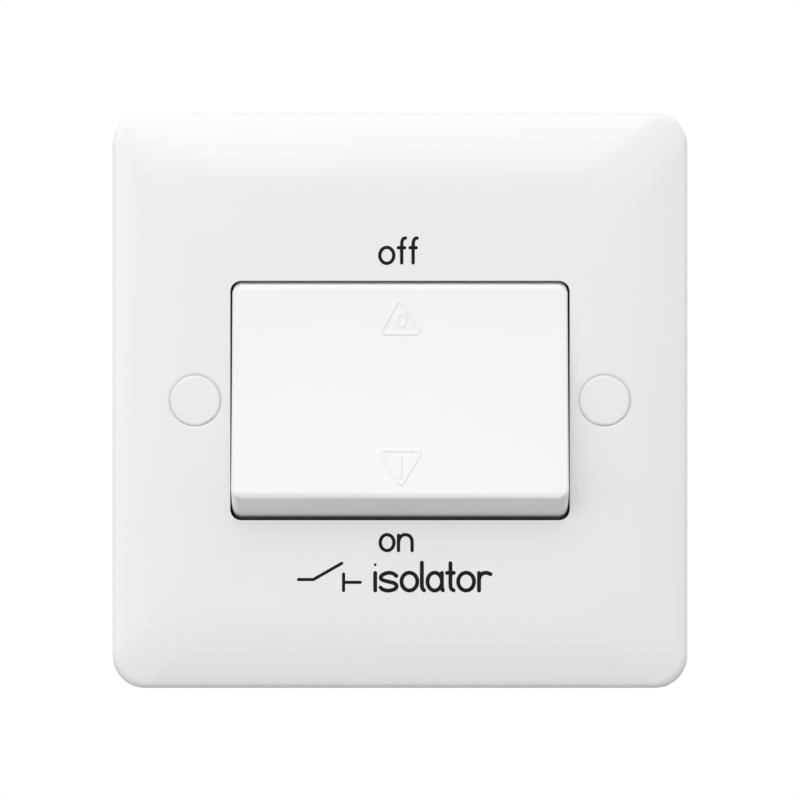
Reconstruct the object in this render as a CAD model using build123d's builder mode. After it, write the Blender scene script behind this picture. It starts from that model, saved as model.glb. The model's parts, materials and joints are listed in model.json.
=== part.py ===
from build123d import *
from math import asin, cos, degrees, pi, radians, sin, sqrt, tan
import os

# Three-pole fan isolator switch for a single-gang wall box, in millimetres.
# +X is right, +Z is up and the front faces -Y. The origin is the middle of the plate on the wall plane,
# so the plate and rocker lie at negative y and the mechanism in the wall box at positive y. The rocker
# is drawn in its off position, pressed in at the top.

os.makedirs("parts", exist_ok=True)

# Front plate
PLATE_SIZE = 86.0
PLATE_DEPTH = 8.6
PLATE_WALL = 2.2
SIDE_WALL = 3.2
RIM_WALL = 1.6
WALL_DRAFT = 4.5
PLATE_CORNER_R = 4.8
PLATE_EDGE_R = 1.1
EDGE_STEPS = 2
PILLOW_WIDTH = 11.2
PILLOW_SLOPE = 15.0
PILLOW_STEPS = 5
FLAT_CORNER_R = 8.0
OPENING_LIP = 0.35
OPENING_SLOPE = 16.0
COLLAR_WALL = 1.6
RIB_T = 1.4
RIB_REAR_Y = -2.4

# Rocker
ROCKER_TO_FIXING = 5.45
ROCKER_HEIGHT = 34.0
ROCKER_TILT = 8.8
ROCKER_GAP = 0.3
ROCKER_END_GAP = 0.5
ROCKER_WALL = 2.0
ROCKER_CORNER_R = 1.3
ROCKER_CORNER_BREAKS = (0.63, 0.27)
ROCKER_EDGE_CHAMFER = 0.3
FACE_SAG = 0.5
PIVOT_DEPTH = 7.0
SKIRT_FRONT = 2.0
TRUNNION_R = 1.8
TRUNNION_LENGTH = 1.7
TRUNNION_EAR_R = 2.8
SPINE_T = 1.5
BEARING_CLEARANCE = 0.05
END_CLEARANCE = 0.2

# Spring plungers in the rocker
SLEEVE_SIDE = 6.0
SLEEVE_REACH = 7.0
PLUNGER_SIDE = 3.4
PLUNGER_REACH = 11.0
PLUNGER_LENGTH = 7.8
PLUNGER_CLEARANCE = 0.08
SPRING_R = 1.45
SPRING_WIRE_R = 0.2
SPRING_SEAT_FRONT = 3.5
SPRING_TURNS = 5
SPRING_SIDES = 6

# Wall fixing screws and their caps
FIXING_SPACING = 60.3
FIXING_R = 1.75
FIXING_NECK_R = 1.6
FIXING_LENGTH = 25.0
FIXING_HEAD_R = 2.9
FIXING_HEAD_H = 2.2
FIXING_SEAT_DEPTH = 5.0
FIXING_SEAT_T = 2.4
FIXING_HOLE_R = 2.0
FIXING_BOSS_WALL = 1.3
CAP_R = 3.75
CAP_T = 1.1
CAP_PROUD = 0.08
CAP_GAP = 0.04
CAP_LEG_T = 1.0
CAP_LEG_REACH = 3.0
SLOT_W = 0.9
SLOT_SHARE = 0.5

# Switch base behind the plate
SEAT_Y = 1.5
BASE_SIDE_INSET = 1.6
BASE_CORNER_R = 2.0
BASE_REAR_CHAMFER = 1.0
BASE_REAR_WALL = 2.0
BASE_END_WALL = 2.0
BASE_SIDE_WALL = 2.2
POLE_WALL = 2.4
CHAMBER_HEIGHT = 22.4
POCKET_SHOULDER = 1.5
BASE_SCREW_R = 1.1
BASE_SCREW_LENGTH = 8.5
BASE_SCREW_HEAD_R = 2.5
BASE_SCREW_HEAD_H = 1.7
EAR_R = 3.0
EAR_REACH = 3.3
EAR_T = 2.5

# Terminals and contacts
TERMINAL_WIDTH = 8.0
TERMINAL_HEIGHT = 6.1
TERMINAL_FRONT_WALL = 1.3
TERMINAL_THREAD_T = 3.4
WIRE_BORE_R = 2.1
WIRE_ENTRY_SIDE = 5.2
TERMINAL_SCREW_R = 1.95
TERMINAL_SCREW_LENGTH = 5.0
TERMINAL_SCREW_BACKOFF = 0.2
DRIVER_WELL_SIDE = 5.0
STRIP_WIDTH = 7.0
STRIP_T = 1.0
FIT_GAP = 0.1
CONTACT_WIDTH = 6.4
CONTACT_T = 1.4
CONTACT_REACH = 8.4
CONTACT_TOP = 10.2
CONTACT_BOTTOM = 5.6
CONTACT_CORNER = 1.2
BLADE_R = 0.5
HORN_WIDTH = 0.8
HORN_HEIGHT = 1.6
TIP_SIDE = 3.2
TIP_H = 0.9
CLOSED_GAP = 0.15

# Places worked out from the sizes above
front_y = -PLATE_DEPTH
pivot_y = front_y + PIVOT_DEPTH
tilt = radians(ROCKER_TILT)
tilt_sin = sin(tilt)
tilt_cos = cos(tilt)

rocker_width = FIXING_SPACING - 2 * ROCKER_TO_FIXING
rocker_arc_r = sqrt((ROCKER_HEIGHT / 2) ** 2 + PIVOT_DEPTH**2)
edge_angle = asin(PIVOT_DEPTH / rocker_arc_r) + tilt
face_half_chord = rocker_arc_r * cos(edge_angle)
face_arc_r = (face_half_chord**2 + FACE_SAG**2) / (2 * FACE_SAG)
face_middle = rocker_arc_r * sin(edge_angle) - FACE_SAG
face_arc_centre = face_middle + face_arc_r
opening_half_width = rocker_width / 2 + ROCKER_GAP
opening_arc_r = rocker_arc_r + ROCKER_END_GAP
opening_turn = radians(OPENING_SLOPE)
opening_half_height = (opening_arc_r - PIVOT_DEPTH * sin(opening_turn)) / cos(opening_turn)
opening_lip_y = front_y + OPENING_LIP
opening_lip_z = opening_half_height + OPENING_LIP * tan(opening_turn)
opening_shoulder_y = pivot_y - opening_arc_r * tan(opening_turn / 2)

contact_y = pivot_y + PLUNGER_REACH + PLUNGER_CLEARANCE + CONTACT_T
fixed_tip_z = CONTACT_REACH * tilt_cos - TIP_H * tilt_sin
closed_y = contact_y + (CONTACT_REACH + TIP_SIDE / 2) * tilt_sin + TIP_H * tilt_cos
strip_front_y = closed_y + CLOSED_GAP + TIP_H
floor_y = strip_front_y + STRIP_T
base_rear_y = floor_y + BASE_REAR_WALL
bore_y = floor_y - TERMINAL_THREAD_T - WIRE_BORE_R
terminal_front_y = bore_y - WIRE_BORE_R - TERMINAL_FRONT_WALL
pocket_inner_z = CHAMBER_HEIGHT / 2 + POCKET_SHOULDER
terminal_inner_z = pocket_inner_z + FIT_GAP
terminal_outer_z = terminal_inner_z + TERMINAL_HEIGHT
pocket_outer_z = terminal_outer_z + FIT_GAP
terminal_screw_z = (terminal_inner_z + terminal_outer_z) / 2
fixing_seat_y = front_y + FIXING_SEAT_DEPTH
fixing_boss_r = CAP_R + CAP_GAP + FIXING_BOSS_WALL
collar_half_width = opening_half_width + COLLAR_WALL
collar_half_height = opening_arc_r + COLLAR_WALL
base_height = 2 * (pocket_outer_z + BASE_END_WALL)
base_width = 2 * (collar_half_width - BASE_SIDE_INSET)
pole_pitch = (base_width - 2 * BASE_SIDE_WALL + POLE_WALL) / 3
chamber_width = pole_pitch - POLE_WALL
base_screw_x = pole_pitch / 2
base_screw_z = base_height / 2 + EAR_REACH

# The pillow front, outwards from its flat middle: a shallow arc, a tighter round edge and a drafted wall
slope_turn = radians(PILLOW_SLOPE)
rim_turn = radians(90 - WALL_DRAFT)
pillow_arc_r = PILLOW_WIDTH / sin(slope_turn)
edge_depth = pillow_arc_r * (1 - cos(slope_turn))
edge_centre_depth = edge_depth + PLATE_EDGE_R * cos(slope_turn)
rim_depth = edge_centre_depth - PLATE_EDGE_R * cos(rim_turn)
rim_inset = (PLATE_DEPTH - rim_depth) / tan(rim_turn)
edge_centre_inset = rim_inset + PLATE_EDGE_R * sin(rim_turn)
flat_inset = edge_centre_inset - PLATE_EDGE_R * sin(slope_turn) + PILLOW_WIDTH
hollow_rim = PLATE_SIZE / 2 - SIDE_WALL
hollow_rim_y = front_y + edge_depth + RIM_WALL
hollow_flat = PLATE_SIZE / 2 - flat_inset
hollow_front_y = front_y + PLATE_WALL

poles = {"left": -pole_pitch, "middle": 0.0, "right": pole_pitch}
fixing_places = [(-FIXING_SPACING / 2, 0), (FIXING_SPACING / 2, 0)]
base_screw_places = [(-base_screw_x, base_screw_z), (base_screw_x, -base_screw_z)]
pole_places = [(x, 0) for x in poles.values()]

# Frames of the pieces that tilt: up and rearward along the rocker, up along a see-saw contact
rocker_up = (0, tilt_sin, tilt_cos)
rocker_rear = (0, tilt_cos, -tilt_sin)
contact_up = (0, -tilt_sin, tilt_cos)
contact_rear = (0, tilt_cos, tilt_sin)


def front_plane(y):
    """Plane parallel to the wall, facing the room: local x is right and local y is up."""
    return Plane.XZ.offset(-y)


def rocker_side_plane(x):
    """Plane across the rocker at its pivot: local x is up along the rocker and local y is forward."""
    return Plane(origin=(x, pivot_y, 0), x_dir=rocker_up, z_dir=(1, 0, 0))


def rocker_bore_plane(x, behind):
    """Plane across a guide sleeve, a distance behind the pivot, facing rearward along the sleeve."""
    y = pivot_y + behind * tilt_cos
    z = -behind * tilt_sin
    return Plane(origin=(x, y, z), x_dir=(1, 0, 0), z_dir=rocker_rear)


def contact_side_plane(x):
    """Plane along a see-saw contact: local x is up the contact and local y is forward."""
    return Plane(origin=(x, contact_y, 0), x_dir=contact_up, z_dir=(1, 0, 0))


def save(piece, label):
    """Name a finished piece and write it to its own file."""
    piece.part.label = label
    export_step(piece.part, f"parts/{label}.step")


def pillow_section(inset, depth):
    """Rounded square outline of the plate at a distance in from its rear rim and a depth behind its front."""
    side = PLATE_SIZE - 2 * inset
    corner = PLATE_CORNER_R + (FLAT_CORNER_R - PLATE_CORNER_R) * inset / flat_inset
    with BuildSketch(front_plane(front_y + depth)) as outline:
        RectangleRounded(side, side, corner)
    return outline.sketch


def pillow_slope(share):
    """Outline at a share of the way down the pillow's shallow arc, from the flat middle to the edge."""
    turn = slope_turn * share
    return pillow_section(flat_inset - pillow_arc_r * sin(turn), pillow_arc_r * (1 - cos(turn)))


def pillow_edge(share):
    """Outline at a share of the way round the outer edge, from the shallow arc to the drafted wall."""
    turn = slope_turn + (rim_turn - slope_turn) * share
    inset = edge_centre_inset - PLATE_EDGE_R * sin(turn)
    return pillow_section(inset, edge_centre_depth - PLATE_EDGE_R * cos(turn))


def rocker_section(wall, rear):
    """Side view of the rocker, moved in by a wall: dished front, ends round the pivot, straight rear."""
    end_r = rocker_arc_r - wall
    front_r = face_arc_r + wall
    corner_front = (end_r**2 - front_r**2 + face_arc_centre**2) / (2 * face_arc_centre)
    corner_up = sqrt(end_r**2 - corner_front**2)
    rear_up = sqrt(end_r**2 - rear**2)
    middle_front = (corner_front + rear) / 2
    middle_up = sqrt(end_r**2 - middle_front**2)
    with BuildSketch(rocker_side_plane(0)) as section:
        with BuildLine():
            upper_corner = (corner_up, corner_front)
            lower_corner = (-corner_up, corner_front)
            ThreePointArc(upper_corner, (0, face_arc_centre - front_r), lower_corner)
            ThreePointArc(lower_corner, (-middle_up, middle_front), (-rear_up, rear))
            Line((-rear_up, rear), (rear_up, rear))
            ThreePointArc((rear_up, rear), (middle_up, middle_front), upper_corner)
        make_face()
    return section.sketch


def slotted_screw(plane, head_r, head_h, shank_r, length, neck_r, neck_length):
    """Turned screw with a driver slot, seated at local y zero of a plane whose y points out of its head."""
    with BuildSketch(plane) as profile:
        with Locations((head_r / 2, head_h / 2)):
            Rectangle(head_r, head_h)
        with Locations((neck_r / 2, -neck_length / 2)):
            Rectangle(neck_r, neck_length)
        with Locations((shank_r / 2, -(neck_length + length) / 2)):
            Rectangle(shank_r, length - neck_length)
    revolve(profile.sketch, axis=Axis(plane.origin, plane.y_dir))
    slot_depth = SLOT_SHARE * head_h
    with BuildSketch(plane) as slot:
        with Locations((0, head_h - slot_depth / 2)):
            Rectangle(2 * head_r, slot_depth)
    extrude(slot.sketch, amount=SLOT_W / 2, both=True, mode=Mode.SUBTRACT)


def terminal_block(x, side):
    """Brass tunnel terminal at the upper (side 1) or lower (side -1) end of a pole."""
    middle_z = side * terminal_screw_z
    with BuildSketch(front_plane(terminal_front_y)) as block:
        with Locations((x, middle_z)):
            Rectangle(TERMINAL_WIDTH, TERMINAL_HEIGHT)
    extrude(block.sketch, amount=terminal_front_y - floor_y)
    with BuildSketch(Plane.XY.offset(middle_z)) as wire_bore:
        with Locations((x, bore_y)):
            Circle(WIRE_BORE_R)
    extrude(wire_bore.sketch, amount=TERMINAL_HEIGHT, both=True, mode=Mode.SUBTRACT)
    with BuildSketch(front_plane(floor_y)) as screw_hole:
        with Locations((x, middle_z)):
            Circle(TERMINAL_SCREW_R + BEARING_CLEARANCE)
    extrude(screw_hole.sketch, amount=floor_y - bore_y, mode=Mode.SUBTRACT)


def terminal_strip(x, low_z, high_z):
    """Flat brass strip on the chamber floor between two heights."""
    with BuildSketch(front_plane(strip_front_y)) as strip:
        with Locations((x, (low_z + high_z) / 2)):
            Rectangle(STRIP_WIDTH, high_z - low_z)
    extrude(strip.sketch, amount=-STRIP_T)


# Front plate: the hollow behind it leaves the collar, bosses and ribs standing
with BuildPart() as plate_hollow:
    # the same side view, flat in front and sloped to the rim, cut both ways across the plate
    upper_half = [(0, hollow_rim), (hollow_rim_y, hollow_rim), (hollow_front_y, hollow_flat)]
    lower_half = [(y, -z) for y, z in reversed(upper_half)]
    with BuildSketch(Plane.YZ):
        Polygon(*upper_half, *lower_half, align=None)
    extrude(amount=hollow_rim, both=True)
    with BuildSketch(Plane(origin=(0, 0, 0), x_dir=(0, 1, 0), z_dir=(0, 0, -1))):
        Polygon(*upper_half, *lower_half, align=None)
    extrude(amount=hollow_rim, both=True, mode=Mode.INTERSECT)
    with BuildSketch(front_plane(0)):
        Rectangle(2 * collar_half_width, 2 * collar_half_height)
        with Locations(*base_screw_places):
            Circle(EAR_R)
    extrude(amount=PLATE_DEPTH, mode=Mode.SUBTRACT)
    with BuildSketch(front_plane(fixing_seat_y + FIXING_SEAT_T)):
        with Locations(*fixing_places):
            Circle(fixing_boss_r)
    extrude(amount=PLATE_DEPTH, mode=Mode.SUBTRACT)
    with BuildSketch(front_plane(RIB_REAR_Y)):
        Rectangle(PLATE_SIZE, RIB_T)
        with Locations((-base_screw_x, 0), (base_screw_x, 0)):
            Rectangle(RIB_T, PLATE_SIZE)
    extrude(amount=PLATE_DEPTH, mode=Mode.SUBTRACT)

with BuildPart() as front_plate:
    outlines = [pillow_slope(step / PILLOW_STEPS) for step in range(PILLOW_STEPS)]
    outlines += [pillow_edge(step / EDGE_STEPS) for step in range(EDGE_STEPS + 1)]
    outlines += [pillow_section(0, PLATE_DEPTH)]
    loft(outlines, ruled=True)
    add(plate_hollow.part, mode=Mode.SUBTRACT)
    with BuildSketch(front_plane(SEAT_Y)):
        Rectangle(2 * collar_half_width, 2 * collar_half_height)
        with Locations(*base_screw_places):
            Circle(EAR_R)
    extrude(amount=SEAT_Y + PLATE_WALL)
    # the opening has a round-cornered lip at the front and follows the round ends of the rocker behind it
    with BuildSketch(front_plane(front_y)):
        RectangleRounded(2 * opening_half_width, 2 * opening_half_height, ROCKER_CORNER_R + ROCKER_GAP)
    extrude(amount=-OPENING_LIP, mode=Mode.SUBTRACT)
    upper_edge = [(SEAT_Y, opening_arc_r), (opening_shoulder_y, opening_arc_r)]
    upper_edge.append((opening_lip_y, opening_lip_z))
    lower_edge = [(y, -z) for y, z in reversed(upper_edge)]
    with BuildSketch(Plane.YZ):
        Polygon(*upper_edge, *lower_edge, align=None)
    extrude(amount=opening_half_width, both=True, mode=Mode.SUBTRACT)
    with BuildSketch(front_plane(front_y)):
        with Locations(*fixing_places):
            Circle(CAP_R + CAP_GAP)
    extrude(amount=-FIXING_SEAT_DEPTH, mode=Mode.SUBTRACT)
    with BuildSketch(front_plane(front_y)):
        with Locations(*fixing_places):
            Circle(FIXING_HOLE_R)
    extrude(amount=-PLATE_DEPTH, mode=Mode.SUBTRACT)
    with BuildSketch(front_plane(SEAT_Y)):
        with Locations(*base_screw_places):
            Circle(BASE_SCREW_R + BEARING_CLEARANCE)
    extrude(amount=BASE_SCREW_LENGTH - EAR_T + END_CLEARANCE, mode=Mode.SUBTRACT)
    # open bearings for the trunnions, round at the front and open to the rear
    bearing_r = TRUNNION_R + BEARING_CLEARANCE
    with BuildSketch(Plane.YZ):
        with Locations((pivot_y, 0)):
            Circle(bearing_r)
        with Locations(((pivot_y + SEAT_Y) / 2, 0)):
            Rectangle(SEAT_Y - pivot_y, 2 * bearing_r)
    extrude(amount=rocker_width / 2 + TRUNNION_LENGTH + END_CLEARANCE, both=True, mode=Mode.SUBTRACT)
save(front_plate, "front_plate")

# Rocker
with BuildPart() as rocker:
    extrude(rocker_section(0, SKIRT_FRONT), amount=rocker_width / 2, both=True)
    # the corners of the round ends are broken twice, so three flats follow each small radius
    for share in ROCKER_CORNER_BREAKS:
        round_edges = rocker.edges().filter_by(GeomType.CIRCLE)
        end_edges = round_edges.filter_by(lambda edge: edge.radius < face_arc_r / 2)
        chamfer(end_edges, share * ROCKER_CORNER_R)
    front_face = rocker.faces().filter_by(GeomType.CYLINDER).sort_by(lambda f: f.radius)[-1]
    chamfer(front_face.edges(), ROCKER_EDGE_CHAMFER)
    rocker_hollow = rocker_section(ROCKER_WALL, SKIRT_FRONT - ROCKER_WALL)
    extrude(rocker_hollow, amount=rocker_width / 2 - ROCKER_WALL, both=True, mode=Mode.SUBTRACT)
    # side ears and trunnions about the pivot
    with BuildSketch(Plane.YZ.offset(rocker_width / 2 - ROCKER_WALL), Plane.YZ.offset(-rocker_width / 2)):
        with Locations((pivot_y, 0)):
            Circle(TRUNNION_EAR_R)
    extrude(amount=ROCKER_WALL)
    trunnion_reach = rocker_width / 2 + TRUNNION_LENGTH
    with BuildSketch(Plane.YZ.offset(rocker_width / 2 - ROCKER_WALL), Plane.YZ.offset(-trunnion_reach)):
        with Locations((pivot_y, 0)):
            Circle(TRUNNION_R)
    extrude(amount=ROCKER_WALL + TRUNNION_LENGTH)
    # plunger sleeves on a spine across the inside of the front
    spine_front = face_middle - ROCKER_WALL / 2
    with BuildSketch(rocker_bore_plane(0, SLEEVE_REACH)):
        with Locations(*pole_places):
            Rectangle(SLEEVE_SIDE, SLEEVE_SIDE)
    extrude(amount=-SLEEVE_REACH - spine_front)
    with BuildSketch(rocker_bore_plane(0, -SKIRT_FRONT)):
        Rectangle(rocker_width - ROCKER_WALL, SPINE_T)
    extrude(amount=SKIRT_FRONT - spine_front)
    with BuildSketch(rocker_bore_plane(0, SLEEVE_REACH)):
        with Locations(*pole_places):
            Rectangle(PLUNGER_SIDE + 2 * BEARING_CLEARANCE, PLUNGER_SIDE + 2 * BEARING_CLEARANCE)
    extrude(amount=-SLEEVE_REACH - SPRING_SEAT_FRONT, mode=Mode.SUBTRACT)
save(rocker, "rocker")

# Screw caps: a disc just proud of the plate, on crossed legs that stand on the screw's head
cap_rear_y = front_y + CAP_T
for side, cap_place in zip(("left", "right"), fixing_places):
    with BuildPart() as screw_cap:
        with BuildSketch(front_plane(cap_rear_y)):
            with Locations(cap_place):
                Circle(CAP_R)
        extrude(amount=CAP_T + CAP_PROUD)
        chamfer(screw_cap.faces().sort_by(Axis.Y)[0].edges(), CAP_PROUD)
        with BuildSketch(front_plane(cap_rear_y)):
            with Locations(cap_place):
                Rectangle(2 * CAP_LEG_REACH, CAP_LEG_T)
                Rectangle(CAP_LEG_T, 2 * CAP_LEG_REACH)
        extrude(amount=cap_rear_y - fixing_seat_y + FIXING_HEAD_H)
    save(screw_cap, f"screw_cap_{side}")

# Wall fixing screws, with the plain neck of a rolled thread inside the plate
with BuildPart() as fixing_screws:
    for screw_x, screw_z in fixing_places:
        slotted_screw(
            Plane(origin=(screw_x, fixing_seat_y, screw_z), x_dir=(1, 0, 0), z_dir=(0, 0, -1)),
            FIXING_HEAD_R,
            FIXING_HEAD_H,
            FIXING_R,
            FIXING_LENGTH,
            FIXING_NECK_R,
            FIXING_SEAT_T + END_CLEARANCE,
        )
save(fixing_screws, "fixing_screws")

# Switch base: a tub open to the front, with driver holes in its rear wall and wire entries in its ends
with BuildPart() as switch_base:
    with BuildSketch(front_plane(SEAT_Y)):
        RectangleRounded(base_width, base_height, BASE_CORNER_R)
    extrude(amount=SEAT_Y - base_rear_y)
    chamfer(switch_base.faces().sort_by(Axis.Y)[-1].edges(), BASE_REAR_CHAMFER)
    with BuildSketch(front_plane(SEAT_Y)):
        for screw_x, screw_z in base_screw_places:
            with Locations((screw_x, screw_z)):
                Circle(EAR_R)
            with Locations((screw_x, screw_z / 2)):
                Rectangle(2 * EAR_R, base_screw_z)
    extrude(amount=-EAR_T)
    with BuildSketch(front_plane(SEAT_Y)):
        with Locations(*base_screw_places):
            Circle(BASE_SCREW_R + END_CLEARANCE)
    extrude(amount=-EAR_T, mode=Mode.SUBTRACT)
    with BuildSketch(front_plane(SEAT_Y)):
        with Locations(*pole_places):
            Rectangle(chamber_width, CHAMBER_HEIGHT)
            Rectangle(STRIP_WIDTH + 2 * FIT_GAP, 2 * pocket_inner_z)
        for pole_x in poles.values():
            for side in (-1, 1):
                with Locations((pole_x, side * (pocket_inner_z + pocket_outer_z) / 2)):
                    Rectangle(TERMINAL_WIDTH + 2 * FIT_GAP, pocket_outer_z - pocket_inner_z)
    extrude(amount=SEAT_Y - floor_y, mode=Mode.SUBTRACT)
    with BuildSketch(front_plane(base_rear_y)):
        for pole_x in poles.values():
            with Locations((pole_x, terminal_screw_z), (pole_x, -terminal_screw_z)):
                Rectangle(DRIVER_WELL_SIDE, DRIVER_WELL_SIDE)
    extrude(amount=BASE_REAR_WALL, mode=Mode.SUBTRACT)
    with BuildSketch(Plane.XY.offset(base_height / 2), Plane.XY.offset(BASE_END_WALL - base_height / 2)):
        with Locations(*[(pole_x, bore_y) for pole_x in poles.values()]):
            Rectangle(WIRE_ENTRY_SIDE, WIRE_ENTRY_SIDE)
    extrude(amount=-BASE_END_WALL, mode=Mode.SUBTRACT)
save(switch_base, "switch_base")

# Self-tapping screws from the base's ears into the plate's bosses
with BuildPart() as base_screws:
    for screw_x, screw_z in base_screw_places:
        slotted_screw(
            Plane(origin=(screw_x, SEAT_Y + EAR_T, screw_z), x_dir=(1, 0, 0), z_dir=(0, 0, 1)),
            BASE_SCREW_HEAD_R,
            BASE_SCREW_HEAD_H,
            BASE_SCREW_R,
            BASE_SCREW_LENGTH,
            BASE_SCREW_R,
            EAR_T,
        )
save(base_screws, "base_screws")

# Headless clamping screws, backed off clear of the wire bores
with BuildPart() as terminal_screws:
    screw_tip_y = bore_y + WIRE_BORE_R + TERMINAL_SCREW_BACKOFF
    for pole_x in poles.values():
        for side in (-1, 1):
            with BuildSketch(front_plane(screw_tip_y)):
                with Locations((pole_x, side * terminal_screw_z)):
                    Circle(TERMINAL_SCREW_R)
            extrude(amount=-TERMINAL_SCREW_LENGTH)
            with BuildSketch(front_plane(screw_tip_y + TERMINAL_SCREW_LENGTH)):
                with Locations((pole_x, side * terminal_screw_z)):
                    Rectangle(2 * TERMINAL_SCREW_R, SLOT_W)
            extrude(amount=SLOT_W, mode=Mode.SUBTRACT)
save(terminal_screws, "terminal_screws")

# Each pole: round-nosed plunger and spring, see-saw contact with its silver pad, and the two terminals
for pole, pole_x in poles.items():
    plunger_front = PLUNGER_REACH - PLUNGER_LENGTH
    nose_r = PLUNGER_SIDE / 2
    nose_middle = PLUNGER_REACH - nose_r
    with BuildPart() as plunger:
        with BuildSketch(rocker_side_plane(pole_x)):
            with Locations((0, -(plunger_front + nose_middle) / 2)):
                Rectangle(PLUNGER_SIDE, nose_middle - plunger_front)
            with Locations((0, -nose_middle)):
                Circle(nose_r)
        extrude(amount=PLUNGER_SIDE / 2, both=True)
    save(plunger, f"plunger_{pole}")

    # the coil is a chain of short straight lengths, which keeps this hidden spring light
    spring_start = rocker_bore_plane(pole_x, SPRING_WIRE_R + BEARING_CLEARANCE - SPRING_SEAT_FRONT)
    spring_height = SPRING_SEAT_FRONT + plunger_front - 2 * SPRING_WIRE_R - 2 * BEARING_CLEARANCE
    coil_steps = SPRING_TURNS * SPRING_SIDES
    coil_points = []
    for step in range(coil_steps + 1):
        turn = 2 * pi * step / SPRING_SIDES
        across = (SPRING_R - SPRING_WIRE_R) * cos(turn)
        up = (SPRING_R - SPRING_WIRE_R) * sin(turn)
        coil_points.append(spring_start.from_local_coords((across, up, spring_height * step / coil_steps)))
    with BuildPart() as plunger_spring:
        with BuildLine():
            coil = Polyline(*coil_points)
        with BuildSketch(Plane(origin=coil @ 0, z_dir=coil % 0)):
            RegularPolygon(SPRING_WIRE_R, 4)
        sweep(path=coil, transition=Transition.RIGHT)
    save(plunger_spring, f"plunger_spring_{pole}")

    tip_origin = contact_side_plane(pole_x).from_local_coords((CONTACT_REACH, 0, 0))
    with BuildPart() as moving_contact:
        with BuildSketch(contact_side_plane(pole_x)):
            with Locations(((CONTACT_TOP - CONTACT_BOTTOM) / 2, CONTACT_T / 2)):
                Rectangle(CONTACT_TOP + CONTACT_BOTTOM, CONTACT_T)
            Circle(BLADE_R + BEARING_CLEARANCE, mode=Mode.SUBTRACT)
        extrude(amount=CONTACT_WIDTH / 2, both=True)
        top_corners = moving_contact.edges().filter_by(Axis(tip_origin, contact_rear)).group_by(Axis.Z)[-1]
        chamfer(top_corners, CONTACT_CORNER)
    save(moving_contact, f"moving_contact_{pole}")

    with BuildPart() as moving_tip:
        with BuildSketch(Plane(origin=tip_origin, x_dir=(1, 0, 0), z_dir=contact_rear)):
            Rectangle(TIP_SIDE, TIP_SIDE)
        extrude(amount=TIP_H)
    save(moving_tip, f"moving_tip_{pole}")

    with BuildPart() as pivot_terminal:
        terminal_block(pole_x, -1)
        terminal_strip(pole_x, -terminal_inner_z, BLADE_R)
        # blade with a round edge under the contact, and a horn each side to keep the contact on it
        with BuildSketch(front_plane(floor_y)):
            with Locations((pole_x, 0)):
                Rectangle(CONTACT_WIDTH + 2 * END_CLEARANCE + 2 * HORN_WIDTH, 2 * BLADE_R)
        extrude(amount=floor_y - contact_y + HORN_HEIGHT)
        with BuildSketch(front_plane(contact_y)):
            with Locations((pole_x, 0)):
                Rectangle(CONTACT_WIDTH + 2 * END_CLEARANCE, 2 * BLADE_R)
        extrude(amount=HORN_HEIGHT, mode=Mode.SUBTRACT)
        with BuildSketch(Plane.YZ.offset(pole_x)):
            with Locations((contact_y, 0)):
                Circle(BLADE_R)
        extrude(amount=CONTACT_WIDTH / 2 + END_CLEARANCE, both=True)
    save(pivot_terminal, f"pivot_terminal_{pole}")

    with BuildPart() as contact_terminal:
        terminal_block(pole_x, 1)
        terminal_strip(pole_x, fixed_tip_z - STRIP_WIDTH / 2, terminal_inner_z)
    save(contact_terminal, f"contact_terminal_{pole}")

    with BuildPart() as fixed_tip:
        with BuildSketch(front_plane(strip_front_y)):
            with Locations((pole_x, fixed_tip_z)):
                Rectangle(TIP_SIDE, TIP_SIDE)
        extrude(amount=TIP_H)
    save(fixed_tip, f"fixed_tip_{pole}")

print(f"rocker arc radius {rocker_arc_r:.3f}, pivot y {pivot_y:.3f}, swing {2 * ROCKER_TILT:.2f} degrees")
print(f"contact axis y {contact_y:.3f}, wire bore y {bore_y:.3f}, base rear y {base_rear_y:.3f}")
print(f"wire bore z {terminal_inner_z:.3f} to {terminal_outer_z:.3f}, edge angle {degrees(edge_angle):.2f}")
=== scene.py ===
"""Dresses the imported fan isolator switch: finishes, printed words, raised marks, threads, springs and a studio."""

import json

import bmesh
import bpy
import numpy as np
from bpy.props import FloatProperty, FloatVectorProperty, IntProperty, PointerProperty
from bpy.types import Operator, Panel, PropertyGroup
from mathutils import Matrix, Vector


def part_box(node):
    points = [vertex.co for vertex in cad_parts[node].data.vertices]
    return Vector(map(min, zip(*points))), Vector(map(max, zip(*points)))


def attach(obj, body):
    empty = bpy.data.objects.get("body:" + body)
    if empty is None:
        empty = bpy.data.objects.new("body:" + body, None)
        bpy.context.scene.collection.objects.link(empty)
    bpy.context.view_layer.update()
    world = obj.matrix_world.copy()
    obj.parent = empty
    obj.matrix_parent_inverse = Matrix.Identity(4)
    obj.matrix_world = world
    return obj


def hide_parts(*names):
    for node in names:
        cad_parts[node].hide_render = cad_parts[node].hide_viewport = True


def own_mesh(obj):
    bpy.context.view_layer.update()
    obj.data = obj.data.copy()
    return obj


bl_info = {
    "name": "Fan isolator switch",
    "version": (1, 0, 0),
    "blender": (4, 5, 0),
    "location": "View3D > Sidebar > Isolator",
    "description": "Finishes, lettering, springs, threads and studio of a fan isolator switch",
    "category": "Add Mesh",
}

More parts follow.
